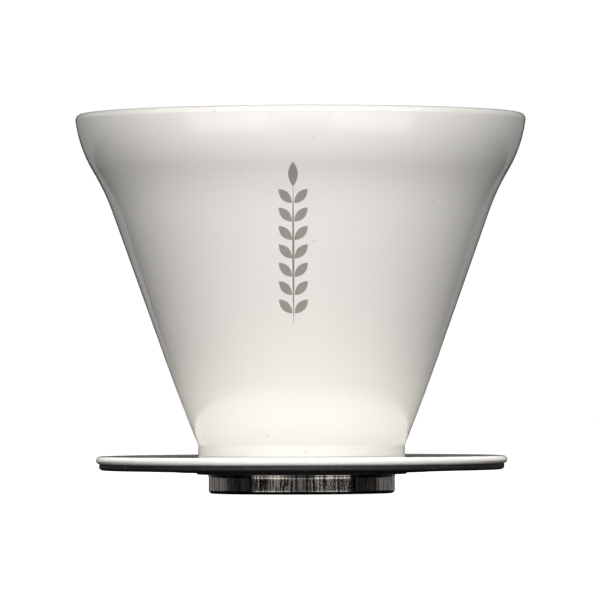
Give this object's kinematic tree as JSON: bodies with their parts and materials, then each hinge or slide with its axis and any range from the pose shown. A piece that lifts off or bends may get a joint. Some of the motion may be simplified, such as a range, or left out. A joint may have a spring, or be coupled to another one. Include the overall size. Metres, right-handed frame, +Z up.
{
  "type": "pour over dripper",
  "caption": "Double-walled steel coffee dripper: flared filter cone with spiral ribs on a round saucer plate and silicone pad, with a steel spigot that sits in a mug or carafe.",
  "frame": {"origin": "centre of the spigot's foot, on the surface that the dripper stands on", "axes": "+Z up along the dripper's axis, from the spigot to the mouth; -Y is the side with the etched mark"},
  "size_m": [0.12, 0.12, 0.1011],
  "materials": {
    "white_coat": "gloss white ceramic-look coat on steel",
    "brushed_steel": "brushed, dark grey reflections",
    "plain_steel": "plain drawn stainless steel",
    "copper_foil": "bright copper foil",
    "getter_alloy": "sintered grey alloy",
    "braze": "dull solder",
    "black_silicone": "matte black silicone"
  },
  "bodies": {
    "pad": {"silicone_pad": "black_silicone"},
    "saucer": {"base_plate": "white_coat"},
    "dripper": {"outer_shell": "white_coat", "inner_cone": "white_coat", "outlet_tube": "plain_steel", "spigot": "brushed_steel", "floor_pan": "plain_steel", "copper_shield": "copper_foil", "getter_pellet": "getter_alloy", "getter_strap": "plain_steel", "port_bead": "braze", "port_cover": "plain_steel"}
  },
  "joints": [
    {"name": "plate_lift_off", "type": "slide", "parent": "pad", "child": "saucer", "axis": [0, 0, 1], "range_m": [0, 0.025]},
    {"name": "dripper_lift_off", "type": "slide", "parent": "saucer", "child": "dripper", "axis": [0, 0, 1], "range_m": [0, 0.03]}
  ]
}
